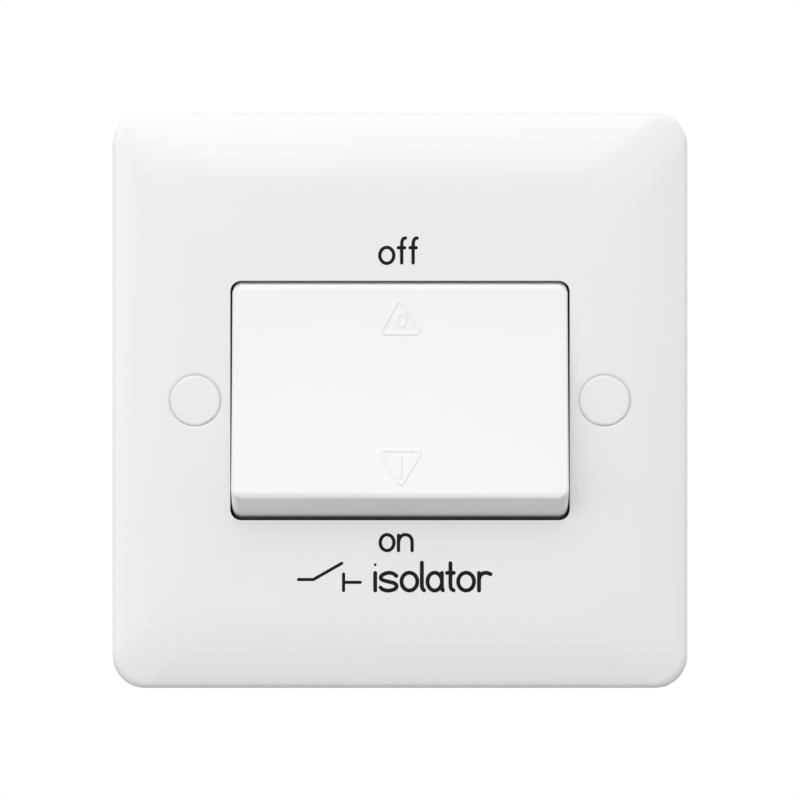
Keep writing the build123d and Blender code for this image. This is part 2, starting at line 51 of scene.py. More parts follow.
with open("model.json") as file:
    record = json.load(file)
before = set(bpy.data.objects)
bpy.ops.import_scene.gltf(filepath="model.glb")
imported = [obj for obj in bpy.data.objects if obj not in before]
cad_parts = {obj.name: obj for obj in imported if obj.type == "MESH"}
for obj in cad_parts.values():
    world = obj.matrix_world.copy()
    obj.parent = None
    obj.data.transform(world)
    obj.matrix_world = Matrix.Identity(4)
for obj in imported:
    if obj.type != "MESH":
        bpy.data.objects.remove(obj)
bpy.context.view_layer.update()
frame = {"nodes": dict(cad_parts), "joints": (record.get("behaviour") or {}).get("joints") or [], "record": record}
joints = {joint["name"]: joint for joint in frame["joints"]}
slot_of = {part["node"]: part["material_slot"] for part in frame["record"]["subparts"]}
front_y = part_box("front_plate")[0].y
MM = 0.001

# What the record says about the fixing screws, which lie behind the caps, and about the rocker's hinge
fixing = next(mount["dims"] for mount in frame["record"]["mounts"] if mount["name"] == "wall_fixing")
screw_spacing = fixing["spacing_x_mm"] * MM
thread_crest = fixing["stud_r_mm"] * MM
hinge = joints["rocker_tilt"]
pivot_y = hinge["pos_m"][1]
rest_tilt = np.radians(hinge["range_deg"][1] / 2)

# The rocker's dished face, seen from the side: an arc between the two corners of the rocker's ends
ROCKER_END_R = 18.385 * MM
ROCKER_CORNER_ANGLE = np.radians(31.18)
ROCKER_SAG = 0.5 * MM

# Pen strokes of the printed words, in millimetres from the middle of the plate: right, then up.
# A ring is its middle and its half sizes, and a line is the points it runs through.
PRINT_OFF = {
    "weight": 1.0,
    "rings": [(-1.945, 21.37, 1.03, 1.175)],
    "lines": [
        [(0.25, 20.27), (0.25, 21.4), (0.25, 22.6), (0.30, 23.4), (0.50, 23.82), (0.80, 23.93)],
        [(-0.25, 22.5), (0.68, 22.5)],
        [(1.93, 20.27), (1.93, 21.4), (1.93, 22.6), (1.98, 23.4), (2.20, 23.82), (2.52, 23.93)],
        [(1.48, 22.5), (2.38, 22.5)],
    ],
}
PRINT_ON = {
    "weight": 1.0,
    "rings": [(-1.90, -20.93, 1.01, 1.17)],
    "lines": [
        [(-0.22, -19.85), (-0.22, -22.10)],
        [
            (-0.22, -20.85),
            (-0.03, -20.25),
            (0.37, -19.85),
            (0.82, -19.76),
            (1.36, -19.93),
            (1.69, -20.36),
            (1.78, -20.95),
            (1.78, -22.10),
        ],
    ],
}
PRINT_ISOLATOR = {
    "weight": 1.16,
    "rings": [
        (1.385, -26.675, 1.165, 1.31),
        (5.11, -26.675, 1.06, 1.31),
        (9.735, -26.675, 1.165, 1.31),
    ],
    "lines": [
        [(-3.655, -25.40), (-3.655, -27.98)],
        [
            (-0.53, -25.84),
            (-0.98, -25.50),
            (-1.72, -25.38),
            (-2.52, -25.64),
            (-2.84, -26.10),
            (-2.50, -26.46),
            (-1.66, -26.69),
            (-0.86, -26.91),
            (-0.50, -27.33),
            (-0.80, -27.78),
            (-1.66, -28.00),
            (-2.47, -27.86),
            (-2.86, -27.55),
        ],
        [(3.22, -23.88), (3.22, -25.6), (3.22, -27.1), (3.30, -27.65), (3.55, -27.97)],
        [(6.17, -25.40), (6.17, -26.4), (6.17, -27.2), (6.20, -27.65), (6.32, -27.96)],
        [(7.43, -23.97), (7.43, -25.6), (7.43, -27.1), (7.53, -27.68), (7.90, -27.96)],
        [(6.92, -25.39), (7.92, -25.39)],
        [(11.64, -25.40), (11.64, -27.98)],
        [(11.64, -26.30), (11.83, -25.76), (12.27, -25.44), (12.80, -25.38), (13.33, -25.58)],
    ],
}
DOT_OF_THE_I = [(-3.655, -24.18), (-3.655, -24.20)]
DOT_WEIGHT = 0.8
SIGN_LINES = [
    [(-14.95, -26.37), (-12.76, -26.37)],
    [(-12.76, -26.37), (-8.58, -23.98)],
    [(-8.31, -25.55), (-8.31, -28.00)],
    [(-8.31, -26.78), (-5.85, -26.78)],
]

# Raised marks on the rocker, in millimetres on its own face: right, then up from its middle
OFF_TRIANGLE = [(-0.12, 13.85), (-2.95, 8.55), (3.05, 8.55)]
OFF_RING = (0.20, 10.60, 0.55, 1.00)
ON_TRIANGLE = [(0.05, -14.20), (3.25, -8.80), (-3.05, -8.80)]
ON_BAR = [(0.07, -9.75), (0.07, -12.80)]

# Each stroke of a print is higher than the one before it by this share of the ink's height
LAYER_STEP = 0.08

# Painted shade on the white mouldings, in a dull dark colour. The caps' joints: half width, what is left of the groove
# there, and share of painted shade.
# The rocker's skirt, painted with shade where it lies behind the plate's front: how far in front of the pivot the shade
# starts to thin, and where it ends.
PAINTED_SHADE_COLOUR = (0.17, 0.16, 0.145, 1)
CAP_JOINT_WIDTH = 0.26 * MM
CAP_JOINT_FALL = 0.37
CAP_PAINTED_SHADE = 0.11
SKIRT_SHADE_FULL = 3.9 * MM
SKIRT_SHADE_GONE = 4.9 * MM

# Pale grains of the dark base, and stains of the metals
BASE_GRAINS = (0.16, 0.14, 0.12)
BRASS_STAIN = (0.42, 0.26, 0.10)
ZINC_STAIN = (0.50, 0.51, 0.47)
SILVER_STAIN = (0.58, 0.53, 0.46)
SPRING_STAIN = (0.30, 0.28, 0.26)

# Points closer than this are one: in a CAD node's loose triangles, and at the seams and poles of a new skin
CAD_WELD = 0.002 * MM
SEAM_WELD = 0.0002 * MM

# Edges sharper than this, in radians, stay crisp
THREAD_CREASE = 0.6
WIRE_CREASE = 0.9
PRINT_CREASE = 0.7
RIB_CREASE = 0.9
FLOOR_CREASE = 0.5

# Points along a line's span, a ring, a round corner, a stroke's round end, a rib's quarter ellipse, and once round a
# turned solid
SPAN_POINTS = 12
RING_POINTS = 72
CORNER_POINTS = 10
END_POINTS = 9
RIB_POINTS = 7
TURNED_POINTS = 40

# Points in a turn of a thread and of a spring, and round the spring's wire
THREAD_POINTS = 28
SPRING_POINTS = 30
WIRE_POINTS = 12

# The fixing screws' threads: turns left plain, turns that a thread takes to rise at its ends, how deep its foot sits in
# the core, half widths of foot and crest in pitches, the core's reach into the neck, and its point
PLAIN_TURNS = 2
THREAD_RISE = 0.8
THREAD_BITE = 0.06 * MM
FOOT_SHARE = 0.46
CREST_SHARE = 0.07
CORE_REACH = 0.3 * MM
POINT_LENGTH = 0.4 * MM
POINT_DROP = 0.25 * MM

# The springs: turns that lie closed at each end, and the share of the wire over which an end rounds off
CLOSED_TURNS = 1.1
WIRE_END_SHARE = 0.0025

# The stage: sensor and near limit of the camera, lamps, rings and spokes of the floor, and the floor's colours as the
# camera sees it, in pale clouds, and in the light that it throws back
SENSOR_WIDTH = 36
NEAR_LIMIT = 0.01
KEY_LAMP = {"place": (-0.197, -1.405, 1.108), "width": 0.98, "height": 1.68}
SIDE_LAMP = {"place": (-0.899, -0.755, 0.249), "width": 0.85, "height": 0.85}
FLOOR_RINGS = 24
FLOOR_SPOKES = 96
FLOOR_SHADES = ((0.68, 0.675, 0.67, 1), (0.72, 0.715, 0.71, 1))
FLOOR_THROWN = (0.35, 0.333, 0.316, 1)


class Value:
    """A socket that joins in Python sums: an operator adds a Math node to the tree it belongs to."""

    def __init__(self, tree, socket):
        self.tree = tree
        self.socket = socket

    def math(self, operation, first, second):
        return self.tree.node("ShaderNodeMath", {"operation": operation}, {0: first, 1: second})

    def __add__(self, other):
        return self.math("ADD", self, other)

    def __radd__(self, other):
        return self.math("ADD", other, self)

    def __sub__(self, other):
        return self.math("SUBTRACT", self, other)

    def __rsub__(self, other):
        return self.math("SUBTRACT", other, self)

    def __mul__(self, other):
        return self.math("MULTIPLY", self, other)

    def __rmul__(self, other):
        return self.math("MULTIPLY", other, self)

    def __pow__(self, other):
        return self.math("POWER", self, other)

    def __rpow__(self, other):
        return self.math("POWER", other, self)

    def __abs__(self):
        return self.math("ABSOLUTE", self, 0)


class Tree:
    """A node tree that is written as expressions."""

    def __init__(self, node_tree):
        self.node_tree = node_tree
        node_tree.nodes.clear()

    def node(self, kind, settings=None, sockets=None, output=0):
        """Adds a node, sets its settings and then its sockets, and gives one of its outputs."""
        made = self.node_tree.nodes.new(kind)
        for name, value in (settings or {}).items():
            if name == "stops":
                for stop, (place, shade) in zip(made.color_ramp.elements, value):
                    stop.position = place
                    stop.color = (shade, shade, shade, 1)
            else:
                setattr(made, name, value)
        for name, value in (sockets or {}).items():
            if isinstance(value, Value):
                self.node_tree.links.new(value.socket, made.inputs[name])
            else:
                made.inputs[name].default_value = value
        return Value(self, made.outputs[output]) if made.outputs else None

    def place(self):
        """The surface's own place on the part."""
        return self.node("ShaderNodeTexCoord", output="Object")

    def along(self, place, x, y, z):
        """How far the place lies in the direction with those parts."""
        settings = {"operation": "DOT_PRODUCT"}
        return self.node("ShaderNodeVectorMath", settings, {0: place, 1: (x, y, z)}, "Value")

    def stretched(self, place, *scale):
        """The place with each way scaled, which draws a pattern out along the smaller scales."""
        return self.node("ShaderNodeMapping", None, {"Vector": place, "Scale": scale})

    def noise(self, place, scale, detail):
        """Cloudy values about one half, with that many waves to a metre."""
        sockets = {"Vector": place, "Scale": scale, "Detail": detail}
        return self.node("ShaderNodeTexNoise", None, sockets, "Fac")

    def ramp(self, value, low, high):
        """The value spread from nothing at low to all at high."""
        return self.node("ShaderNodeValToRGB", {"stops": [(low, 0), (high, 1)]}, {"Fac": value})

    def fade(self, value, start, end):
        """All where the value is at start or before it, falling smoothly to nothing at end."""
        sockets = {"Value": value, 1: start, 2: end, 3: 1, 4: 0}
        return self.node("ShaderNodeMapRange", {"interpolation_type": "SMOOTHSTEP"}, sockets)

    def blend(self, share, first, second):
        """One colour turning into another by share."""
        sockets = {0: share, 6: first, 7: second}
        return self.node("ShaderNodeMix", {"data_type": "RGBA"}, sockets, 2)

    def relief(self, height, depth):
        """The surface's normal over a relief that many metres deep."""
        return self.node("ShaderNodeBump", None, {"Height": height, "Distance": depth, "Strength": 1})


def tinted(colour, share):
    """A colour with each part scaled by share, and opaque."""
    return (colour[0] * share, colour[1] * share, colour[2] * share, 1)


def surface(tree, sockets):
    """Ends a material's tree with one shader of the given sockets."""
    shader = tree.node("ShaderNodeBsdfPrincipled", None, sockets)
    tree.node("ShaderNodeOutputMaterial", None, {"Surface": shader})


def new_finish(name):
    """An empty material of that name and its tree."""
    material = bpy.data.materials.new(name)
    material.use_nodes = True
    return material, Tree(material.node_tree)


def white_moulding(name, colour, roughness, joint):
    """Glossy white thermoset: faint clouds from the mould flow, a fine orange peel and small changes of gloss.
    The joint gives where painted shade darkens and dulls it, and where the edges of two pieces round off into a groove."""
    material, tree = new_finish(name)
    place = tree.place()
    # Painted shade in the caps' joints and on the rocker's skirt: it darkens the colour and dulls the gloss
    painted_shade, groove = joint(tree, place)
    clouds = tree.noise(tree.stretched(place, 1, 1, 0.6), scale=60, detail=3)
    peel = tree.noise(place, scale=900, detail=2)
    rub = tree.noise(place, scale=2600, detail=3)
    clean = tree.blend(clouds, tinted(colour, 0.985), tinted(colour, 1.015))
    sockets = {
        "Base Color": tree.blend(painted_shade, clean, PAINTED_SHADE_COLOUR),
        "Roughness": roughness + 0.12 * (rub - 0.5) + 0.4 * painted_shade,
        "Normal": tree.relief(0.05 * peel - groove, depth=0.08 * MM),
        "IOR": 1.5,
    }
    surface(tree, sockets)
    return material


def cap_joints(tree, place):
    """A line of painted shade and a groove round each cap: both fall off with the square of the way from the joint."""
    low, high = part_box("screw_cap_left")
    aside = abs(tree.along(place, 1, 0, 0)) - screw_spacing / 2
    up = tree.along(place, 0, 0, 1)
    away = ((aside * aside + up * up) ** 0.5 - (high.z - low.z) / 2) * (1 / CAP_JOINT_WIDTH)
    groove = CAP_JOINT_FALL ** (away * away)
    return CAP_PAINTED_SHADE * groove, groove


def rocker_skirt_shade(tree, place):
    """Painted shade on the ends of the rocker that stay behind the plate's front, full deep in and fading towards the
    front, and no groove.
    """
    forward = tree.along(place, 0, -np.cos(rest_tilt), np.sin(rest_tilt)) + pivot_y * np.cos(rest_tilt)
    return tree.fade(forward, SKIRT_SHADE_FULL, SKIRT_SHADE_GONE), 0


def filled_moulding(name, colour, grain_colour):
    """Dark mineral-filled moulding: pale grains in the resin, and a dull skin that the grains roughen."""
    material, tree = new_finish(name)
    place = tree.place()
    grains = tree.noise(place, scale=5200, detail=2)
    clouds = tree.noise(place, scale=140, detail=3)
    skin = tree.blend(clouds, tinted(colour, 0.8), tinted(colour, 1.25))
    sockets = {
        "Base Color": tree.blend(tree.ramp(grains, low=0.62, high=0.76), skin, tinted(grain_colour, 1)),
        "Roughness": 0.42 + 0.2 * grains,
        "Normal": tree.relief(grains, depth=0.012 * MM),
    }
    surface(tree, sockets)
    return material


def smooth_moulding(name, colour):
    """Pale bearing plastic with a waxy skin and faint clouds."""
    material, tree = new_finish(name)
    place = tree.place()
    clouds = tree.noise(place, scale=420, detail=3)
    sockets = {
        "Base Color": tree.blend(clouds, tinted(colour, 0.93), tinted(colour, 1.05)),
        "Roughness": 0.34 + 0.16 * tree.noise(place, scale=3800, detail=2),
        "Normal": tree.relief(clouds, depth=0.004 * MM),
    }
    surface(tree, sockets)
    return material


def worked_metal(name, colour, stain, roughness, way):
    """Metal with fine tool lines drawn out one way, and a thin stain that lies in patches and dulls it."""
    material, tree = new_finish(name)
    place = tree.place()
    lines = tree.noise(tree.stretched(place, *way), scale=2400, detail=3)
    patches = tree.ramp(tree.noise(place, scale=330, detail=4), low=0.42, high=0.72)
    sockets = {
        "Base Color": tree.blend(0.45 * patches, tinted(colour, 1), tinted(stain, 1)),
        "Roughness": roughness + 0.16 * patches + 0.14 * (lines - 0.5),
        "Metallic": 1,
        "Normal": tree.relief(lines, depth=0.006 * MM),
    }
    surface(tree, sockets)
    return material


def printed_ink(name, colour):
    """Matt pad-printed ink, a little thinner and duller in small patches."""
    material, tree = new_finish(name)
    place = tree.place()
    thin = tree.noise(place, scale=2800, detail=3)
    sockets = {
        "Base Color": tree.blend(thin, tinted(colour, 0.7), tinted(colour, 1.6)),
        "Roughness": 0.5 + 0.25 * thin,
        "Normal": tree.relief(thin, depth=0.004 * MM),
        "Specular IOR Level": 0.12,
    }
    surface(tree, sockets)
    return material


def soft_edges(limit):
    """A node group that joins a CAD node's loose triangles and shades edges flatter than limit as rounded."""
    group = bpy.data.node_groups.new("soft_edges", "GeometryNodeTree")
    group.interface.new_socket("Geometry", in_out="INPUT", socket_type="NodeSocketGeometry")
    group.interface.new_socket("Geometry", in_out="OUTPUT", socket_type="NodeSocketGeometry")
    tree = Tree(group)
    loose = tree.node("NodeGroupInput")
    joined = tree.node("GeometryNodeMergeByDistance", None, {"Geometry": loose, "Distance": CAD_WELD})
    rounded = tree.node("GeometryNodeSetShadeSmooth", {"domain": "FACE"}, {"Geometry": joined})
    angle = tree.node("GeometryNodeInputMeshEdgeAngle")
    flat = tree.node("FunctionNodeCompare", {"operation": "LESS_THAN"}, {0: angle, 1: limit})
    sockets = {"Geometry": rounded, "Shade Smooth": flat}
    crisp = tree.node("GeometryNodeSetShadeSmooth", {"domain": "EDGE"}, sockets)
    tree.node("NodeGroupOutput", None, {0: crisp})
    return group


def soften(piece, group):
    """Shades a CAD shape with its small bevels rounded: joined, smooth below the limit, broad faces kept flat."""
    joined = piece.modifiers.new("soft_edges", "NODES")
    joined.node_group = group
    weighted = piece.modifiers.new("broad_faces", "WEIGHTED_NORMAL")
    weighted.mode = "FACE_AREA"
    weighted.weight = 50
    weighted.keep_sharp = True


def grid_faces(rows, columns, round_rows, round_columns):
    """Quads between neighbouring points of a grid, carried round where a way of the grid is closed."""
    row = np.arange(rows if round_rows else rows - 1)[:, None]
    column = np.arange(columns if round_columns else columns - 1)[None, :]
    next_row = (row + 1) % rows
    next_column = (column + 1) % columns
    corners = [
        row * columns + column,
        row * columns + next_column,
        next_row * columns + next_column,
        next_row * columns + column,
    ]
    return np.stack(corners, axis=-1).reshape(-1, 4)


def closed_mesh(name, grids, crease):
    """One mesh of several closed skins. Each is a grid of points and whether its rows and columns close."""
    points = []
    faces = []
    start = 0
    for grid, round_rows, round_columns in grids:
        rows, columns = grid.shape[:2]
        points.append(grid.reshape(-1, 3))
        faces.append(grid_faces(rows, columns, round_rows, round_columns) + start)
        start += rows * columns
    mesh = bpy.data.meshes.new(name)
    mesh.from_pydata(np.vstack(points).tolist(), [], np.vstack(faces).tolist())
    shell = bmesh.new()
    shell.from_mesh(mesh)
    bmesh.ops.remove_doubles(shell, verts=shell.verts, dist=SEAM_WELD)
    bmesh.ops.recalc_face_normals(shell, faces=shell.faces)
    shell.to_mesh(mesh)
    shell.free()
    mesh.shade_smooth()
    mesh.set_sharp_from_angle(angle=crease)
    return mesh


def new_piece(name, mesh, material, body):
    """Puts a finished mesh in the scene with its finish, on the body it moves with."""
    piece = bpy.data.objects.new(name, mesh)
    bpy.context.scene.collection.objects.link(piece)
    if not mesh.materials:
        mesh.materials.append(material)
    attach(piece, body)
    return piece


def smooth_line(points):
    """A line through the given points: over each span a cubic whose slopes at its ends are half the step between the
    neighbours on either side. Beyond the first and last point the step before it is repeated."""
    points = np.asarray(points, float)
    ends = np.vstack([2 * points[0] - points[1], points, 2 * points[-1] - points[-2]])
    before, start, end, after = (ends[k : k + len(points) - 1, None] for k in range(4))
    share = np.linspace(0, 1, SPAN_POINTS, endpoint=False)[None, :, None]
    spans = (
        start
        + share * (end - before) / 2
        + share**2 * (before - 2.5 * start + 2 * end - after / 2)
        + share**3 * (1.5 * (start - end) + (after - before) / 2)
    )
    return np.vstack([spans.reshape(-1, 2), points[-1:]])


def ring_line(middle_x, middle_z, half_width, half_height):
    """An ellipse: its half sizes times the cosine and sine of the turn, about its middle."""
    turn = np.linspace(0, 2 * np.pi, RING_POINTS, endpoint=False)
    return np.stack([middle_x + half_width * np.cos(turn), middle_z + half_height * np.sin(turn)], axis=-1)


def rounded_line(corners, radius):
    """A closed line of straight runs with round corners: about each corner's arc middle, which lies on the halving line
    of the corner, the turn goes from one run's normal to the next one's."""
    corners = np.asarray(corners, float)
    ahead = np.roll(corners, -1, axis=0) - corners
    ahead /= np.linalg.norm(ahead, axis=1, keepdims=True)
    behind = np.roll(ahead, 1, axis=0)
    turn = np.arctan2(behind[:, 0] * ahead[:, 1] - behind[:, 1] * ahead[:, 0], (behind * ahead).sum(axis=1))
    side = np.sign(turn)[:, None]
    normal = side * np.stack([-behind[:, 1], behind[:, 0]], axis=-1)
    tangent = corners - behind * radius * np.tan(np.abs(turn) / 2)[:, None]
    middle = tangent + radius * normal
    share = np.linspace(0, 1, CORNER_POINTS)[None, :]
    angle = np.arctan2(-normal[:, 1], -normal[:, 0])[:, None] + share * turn[:, None]
    arcs = middle[:, None] + radius * np.stack([np.cos(angle), np.sin(angle)], axis=-1)
    return arcs.reshape(-1, 2)


def left_of(line, closed):
    """The unit normals to the left of a line, from the step between each point's neighbours."""
    if closed:
        step = np.roll(line, -1, axis=0) - np.roll(line, 1, axis=0)
    else:
        step = np.gradient(line, axis=0)
    step /= np.linalg.norm(step, axis=1, keepdims=True)
    return np.stack([-step[:, 1], step[:, 0]], axis=-1)


def closed_stroke(line, across, height):
    """A stroke round a closed line: each point of the section, across and height, is carried along the line, moved
    sideways by across. Both ways of the grid are closed."""
    both_across = np.concatenate([across, -across[::-1]])
    both_height = np.concatenate([height, height[::-1]])
    flat = line[None] + both_across[:, None, None] * left_of(line, True)[None]
    lift = np.broadcast_to(both_height[:, None, None], flat.shape[:2] + (1,))
    return np.concatenate([flat, lift], axis=-1), True, True


def open_stroke(line, across, height):
    """A stroke along an open line with round ends. One way of the grid goes round the stroke: up its left side, half a
    turn about the end, back along its right side and half a turn about the start. The other way is the section from
    the middle underneath, round the edge and up to the middle on top, where both sides meet."""
    left = left_of(line, False)
    half_turn = np.linspace(0, np.pi, END_POINTS + 2)[1:-1, None]
    along = np.stack([left[:, 1], -left[:, 0]], axis=-1)
    end = np.cos(half_turn) * left[-1] + np.sin(half_turn) * along[-1]
    start = -np.cos(half_turn) * left[0] - np.sin(half_turn) * along[0]
    about_end = np.repeat(line[-1:], END_POINTS, axis=0)
    about_start = np.repeat(line[:1], END_POINTS, axis=0)
    middle = np.vstack([line, about_end, line[::-1], about_start])
    outward = np.vstack([left, end, -left[::-1], start])
    flat = middle[None] + across[:, None, None] * outward[None]
    lift = np.broadcast_to(height[:, None, None], flat.shape[:2] + (1,))
    return np.concatenate([flat, lift], axis=-1), False, True


def ink_section(width, height):
    """Half a printed stroke's section: from below the middle, out to the edge and over a rounded shoulder."""
    across = np.array([0, 1, 1, 0.94, 0.8, 0]) * width / 2
    lift = np.array([-0.6, -0.6, 0.35, 0.8, 1, 1]) * height
    return across, lift


def rib_section(width, height):
    """Half a raised rib's section: a flat underside, then a quarter of an ellipse from the edge to the crown."""
    turn = np.linspace(0, np.pi / 2, RIB_POINTS)
    foot = -0.5 * height
    across = np.concatenate([[0], np.cos(turn)]) * width / 2
    lift = np.concatenate([[foot], np.sin(turn) * height])
    lift[1] = foot
    return across, lift


def on_plate(grid):
    """Lays a flat grid on the plate's front: right and up as they are, its height towards the viewer."""
    right, up, height = np.moveaxis(grid, -1, 0) * MM
    return np.stack([right, front_y - height, up], axis=-1)


def on_rocker(grid):
    """Lays a flat grid on the rocker's dished face. From the side the face is an arc: at the distance up from the
    rocker's middle its depth is the arc's middle less the root of its radius squared less up squared, and the normal
    points from the face to the arc's middle. The whole is then tilted about the pivot."""
    right, up, height = np.moveaxis(grid, -1, 0) * MM
    half = ROCKER_END_R * np.cos(ROCKER_CORNER_ANGLE)
    radius = (half**2 + ROCKER_SAG**2) / (2 * ROCKER_SAG)
    arc_middle = ROCKER_END_R * np.sin(ROCKER_CORNER_ANGLE) - ROCKER_SAG + radius
    rise = up * (1 - height / radius)
    out = arc_middle - (radius - height) * np.sqrt(1 - (up / radius) ** 2)
    behind = pivot_y + rise * np.sin(rest_tilt) - out * np.cos(rest_tilt)
    above = rise * np.cos(rest_tilt) + out * np.sin(rest_tilt)
    return np.stack([right, behind, above], axis=-1)


def laid(strokes, carrier):
    """Each stroke's grid laid on the face that carries it, with its closed ways kept."""
    return [(carrier(grid), round_rows, round_columns) for grid, round_rows, round_columns in strokes]


def printed_strokes(rings, lines, width, height):
    """The strokes of a print: its rings, then its lines. Each lies a little higher than the one before it, so that no
    two tops share a plane where strokes cross."""
    paths = [(closed_stroke, ring_line(*ring)) for ring in rings]
    paths += [(open_stroke, smooth_line(line)) for line in lines]
    strokes = []
    for layer, (stroke, line) in enumerate(paths):
        section = ink_section(width, height * (1 + LAYER_STEP * layer))
        strokes.append(stroke(line, *section))
    return strokes


def wound(start, axis, turns, lift, radius, section, full):
    """A section carried along a helix: at each share of the way the turn is that share of all the turns, and each point
    of the section, out and along, stands at the radius plus out, at the lift plus along. The section is scaled by
    full, which is nothing at both ends, so that they close."""
    axis = np.asarray(axis) / np.linalg.norm(axis)
    right = np.cross(axis, (1, 0, 0))
    right /= np.linalg.norm(right)
    up = np.cross(axis, right)
    turn = 2 * np.pi * turns * np.linspace(0, 1, len(lift))
    out = radius + full[None] * section[0][:, None]
    along = lift[None] + full[None] * section[1][:, None]
    round_axis = np.cos(turn)[:, None] * right + np.sin(turn)[:, None] * up
    grid = np.asarray(start) + out[..., None] * round_axis + along[..., None] * axis
    return grid, True, False


def turned(start, axis, out, along):
    """A turned solid: each point of the profile, out and along, goes once round the axis."""
    turn = np.linspace(0, 2 * np.pi, TURNED_POINTS, endpoint=False)
    axis = np.asarray(axis)
    right = np.cross(axis, (1, 0, 0))
    up = np.cross(axis, right)
    round_axis = np.cos(turn)[:, None] * right + np.sin(turn)[:, None] * up
    grid = np.asarray(start) + out[:, None, None] * round_axis + along[:, None, None] * axis
    return grid, False, True


def shankless_heads(plain):
    """A copy of the fixing screws' mesh without the shanks, closed again, and where the shanks begin. A shank's points
    lie at the crest's radius from the screw's axis, behind the neck."""
    mesh = plain.data.copy()
    mesh.name = "fixing_screw_heads"
    heads = bmesh.new()
    heads.from_mesh(mesh)
    bmesh.ops.remove_doubles(heads, verts=heads.verts, dist=CAD_WELD)
    shank_r = thread_crest - 0.02 * MM
    neck_y = -2 * MM
    shank = [
        vert
        for vert in heads.verts
        if np.hypot(abs(vert.co.x) - screw_spacing / 2, vert.co.z) > shank_r and vert.co.y > neck_y
    ]
    shank_top = min(vert.co.y for vert in shank)
    bmesh.ops.delete(heads, geom=shank, context="VERTS")
    bmesh.ops.holes_fill(heads, edges=[edge for edge in heads.edges if edge.is_boundary], sides=0)
    bmesh.ops.recalc_face_normals(heads, faces=heads.faces)
    heads.to_mesh(mesh)
    heads.free()
    return mesh, shank_top


def thread_skins(shank_top, length, pitch, depth):
    """For each fixing screw a core, turned from a profile with a short point, and a thread: a flat-topped rib wound
    round the core, which rises at its start and sinks at its end."""
    root = thread_crest - depth
    turns = int(length / pitch) - PLAIN_TURNS
    steps = turns * THREAD_POINTS + 1
    lift = np.linspace(pitch, pitch * (turns + 1), steps)
    way = np.linspace(0, turns, steps)
    full = np.clip(np.minimum(way, turns - way) / THREAD_RISE, 0, 1)
    rib_out = np.array([-THREAD_BITE, depth, depth, -THREAD_BITE])
    rib_along = np.array([-FOOT_SHARE, -CREST_SHARE, CREST_SHARE, FOOT_SHARE]) * pitch
    core_out = np.array([0, root, root, root - POINT_DROP, 0])
    core_along = np.array([-CORE_REACH, -CORE_REACH, length - POINT_LENGTH, length, length])
    skins = []
    for x in (-screw_spacing / 2, screw_spacing / 2):
        start = (x, shank_top, 0)
        skins.append(turned(start, (0, 1, 0), core_out, core_along))
        skins.append(wound(start, (0, 1, 0), turns, lift, root, (rib_out, rib_along), full))
    return skins


def front_camera(scene, stage):
    """A camera straight in front of the plate, with the lens that takes in the view's width at the plate's front."""
    camera = bpy.data.objects.new("camera", bpy.data.cameras.new("camera"))
    scene.collection.objects.link(camera)
    camera.location = (0, -stage.camera_distance, stage.camera_height)
    camera.rotation_euler = (np.pi / 2, 0, 0)
    camera.data.sensor_width = SENSOR_WIDTH
    camera.data.lens = SENSOR_WIDTH * (stage.camera_distance + front_y) / stage.view_width
    camera.data.clip_start = NEAR_LIMIT
    scene.camera = camera


def soft_lamp(name, place, width, height, power):
    """A soft lamp that faces the middle of the plate."""
    lamp = bpy.data.lights.new(name, "AREA")
    lamp.energy = power
    lamp.shape = "RECTANGLE"
    lamp.size = width
    lamp.size_y = height
    holder = bpy.data.objects.new(name, lamp)
    holder.location = place
    holder.rotation_euler = (-Vector(place)).to_track_quat("-Z", "Y").to_euler()
    bpy.context.scene.collection.objects.link(holder)


def shown_share(tree):
    """All on rays from the camera, a reflection or a clear body, and nothing on the light that a surface gathers."""
    seen = tree.node("ShaderNodeLightPath", output="Is Camera Ray")
    mirrored = tree.node("ShaderNodeLightPath", output="Is Glossy Ray")
    through = tree.node("ShaderNodeLightPath", output="Is Transmission Ray")
    return seen + mirrored + through


def white_surround(scene, room_light):
    """White to the camera and in reflections, and an even room light for the rest."""
    world = bpy.data.worlds.new("white_surround")
    world.use_nodes = True
    scene.world = world
    tree = Tree(world.node_tree)
    white = tree.node("ShaderNodeBackground", None, {"Color": (1, 1, 1, 1), "Strength": 1})
    room = tree.node("ShaderNodeBackground", None, {"Color": (1, 1, 1, 1), "Strength": room_light})
    mixed = tree.node("ShaderNodeMixShader", None, {0: shown_share(tree), 1: room, 2: white})
    tree.node("ShaderNodeOutputWorld", None, {"Surface": mixed})


def pale_floor(scene, stage):
    """A round pale floor: each point at its radius times the cosine and sine of its turn, at the floor's depth. It
    throws less light back than it shows."""
    radius = np.linspace(0, stage.floor_radius, FLOOR_RINGS)[:, None]
    turn = np.linspace(0, 2 * np.pi, FLOOR_SPOKES, endpoint=False)
    depth = np.full((FLOOR_RINGS, FLOOR_SPOKES), -stage.floor_depth)
    disc = np.stack([radius * np.cos(turn), radius * np.sin(turn), depth], axis=-1)
    floor = bpy.data.objects.new("floor", closed_mesh("floor", [(disc, False, True)], FLOOR_CREASE))
    scene.collection.objects.link(floor)
    material, tree = new_finish("pale_floor")
    clouds = tree.noise(tree.place(), scale=6, detail=3)
    pale = tree.blend(clouds, *FLOOR_SHADES)
    sockets = {
        "Base Color": tree.blend(shown_share(tree), FLOOR_THROWN, pale),
        "Roughness": 0.9,
    }
    surface(tree, sockets)
    floor.data.materials.append(material)
    return floor


